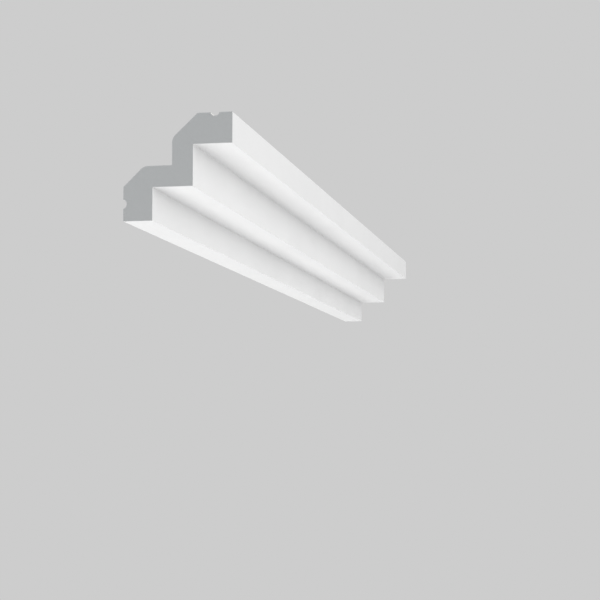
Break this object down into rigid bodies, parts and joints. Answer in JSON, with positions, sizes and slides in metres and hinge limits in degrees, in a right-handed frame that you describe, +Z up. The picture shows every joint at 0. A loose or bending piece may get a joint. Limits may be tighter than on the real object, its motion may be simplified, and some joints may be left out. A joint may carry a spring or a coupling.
{
  "type": "cornice moulding length",
  "caption": "Straight length of stepped foam cornice moulding with chamfered back and glue grooves, fixed in the corner of wall and ceiling.",
  "frame": {"origin": "on the face that is glued to the wall, at mid-length, in the middle of the flat strip below the glue groove", "axes": "+X along the length, +Y into the wall, +Z up towards the ceiling, so the room is on the -Y side"},
  "size_m": [1.38, 0.115, 0.11],
  "materials": {
    "primed_foam": "satin white primer on rigid foam, sawn grey-white foam at the two cut ends"
  },
  "bodies": {
    "root": {"cornice_moulding": "primed_foam"}
  },
  "joints": []
}
